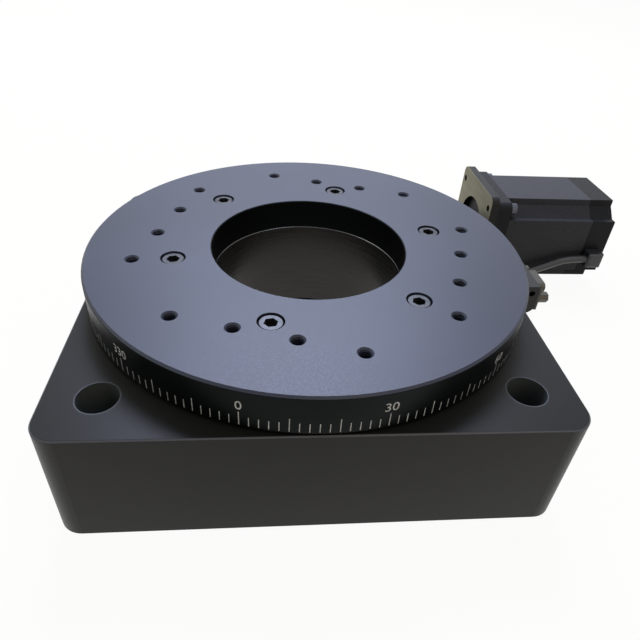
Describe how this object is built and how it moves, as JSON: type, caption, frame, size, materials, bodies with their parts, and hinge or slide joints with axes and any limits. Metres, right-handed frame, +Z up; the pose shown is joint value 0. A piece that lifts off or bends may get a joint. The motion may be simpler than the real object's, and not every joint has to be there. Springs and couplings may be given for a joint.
{
  "type": "rotation stage",
  "caption": "Motorised rotation stage: a round drilled table with a clear centre aperture, turned by a worm drive and stepper motor on a square base.",
  "frame": {"origin": "on the table's axis at the base's underside, which is also the centre of the four mounting holes", "axes": "+Z up along the table's axis, +X towards the motor, -Y the front"},
  "size_m": [0.302, 0.2302, 0.072],
  "materials": {
    "black_anodised": "fine blasted, black anodised",
    "bare_aluminium": "bare machined",
    "ground_steel": "ground",
    "bearing_steel": "lapped",
    "black_oxide_steel": "black oxide",
    "zinc_steel": "zinc plated",
    "bronze": "machined",
    "copper_winding": "enamelled wire",
    "motor_lamination": "satin black paint",
    "magnet_nickel": "nickel plated",
    "socket_tin": "tin plated",
    "gold_contact": "gold plated",
    "black_plastic": "moulded",
    "black_rubber": "moulded"
  },
  "bodies": {
    "base": {"bearing_outer_ring": "bearing_steel", "outer_clamp_ring": "black_anodised", "outer_clamp_screws": "black_oxide_steel", "base_housing": "black_anodised", "bottom_cover": "black_anodised", "cover_screws": "black_oxide_steel", "shaft_bearing_outer_rings": "bearing_steel", "worm_housing": "black_anodised", "housing_screws": "black_oxide_steel", "worm_carrier_closed": "black_anodised", "worm_carrier_open": "black_anodised", "carrier_screws": "black_oxide_steel", "motor_plate": "bare_aluminium", "bracket_screws": "black_oxide_steel", "motor_front_bell": "motor_lamination", "motor_screws": "zinc_steel", "stator_stack": "motor_lamination", "stator_windings": "copper_winding", "motor_rear_bell": "motor_lamination", "motor_tie_bolts": "black_oxide_steel", "lead_elbow": "black_rubber", "motor_lead": "black_rubber", "lead_gland": "black_plastic", "connector_block": "black_anodised", "block_screws": "black_oxide_steel", "socket_shell": "socket_tin", "socket_insulator": "black_plastic", "socket_contacts": "gold_contact", "jack_screws": "socket_tin", "home_switch": "black_plastic", "home_switch_screws": "zinc_steel"},
    "table": {"table_plate": "black_anodised", "table_screws": "black_oxide_steel", "home_magnet": "magnet_nickel", "hub": "black_anodised", "worm_wheel": "bronze", "wheel_screws": "black_oxide_steel", "bearing_inner_ring": "bearing_steel", "inner_clamp_ring": "black_anodised", "inner_clamp_screws": "black_oxide_steel"},
    "bearing_roller_set": {"bearing_rollers": "bearing_steel"},
    "worm": {"worm_shaft": "ground_steel", "shaft_bearing_inner_rings": "bearing_steel", "shaft_coupling": "bare_aluminium", "coupling_screws": "black_oxide_steel", "motor_shaft": "ground_steel", "rotor": "ground_steel"},
    "shaft_ball_set": {"shaft_bearing_balls": "bearing_steel"}
  },
  "joints": [
    {"name": "table_spin", "type": "hinge", "parent": "base", "child": "table", "pos_m": [0, 0, 0], "axis": [0, 0, 1], "continuous": true},
    {"name": "roller_spin", "type": "hinge", "parent": "base", "child": "bearing_roller_set", "pos_m": [0, 0, 0], "axis": [0, 0, 1], "continuous": true},
    {"name": "worm_spin", "type": "hinge", "parent": "base", "child": "worm", "pos_m": [0, 0.102, 0.03], "axis": [1, 0, 0], "continuous": true},
    {"name": "ball_spin", "type": "hinge", "parent": "base", "child": "shaft_ball_set", "pos_m": [0, 0.102, 0.03], "axis": [1, 0, 0], "continuous": true}
  ],
  "couplings": [
    {"joint": "roller_spin", "follows": "table_spin", "ratio": 0.4838},
    {"joint": "worm_spin", "follows": "table_spin", "ratio": 180},
    {"joint": "ball_spin", "follows": "table_spin", "ratio": 66}
  ]
}
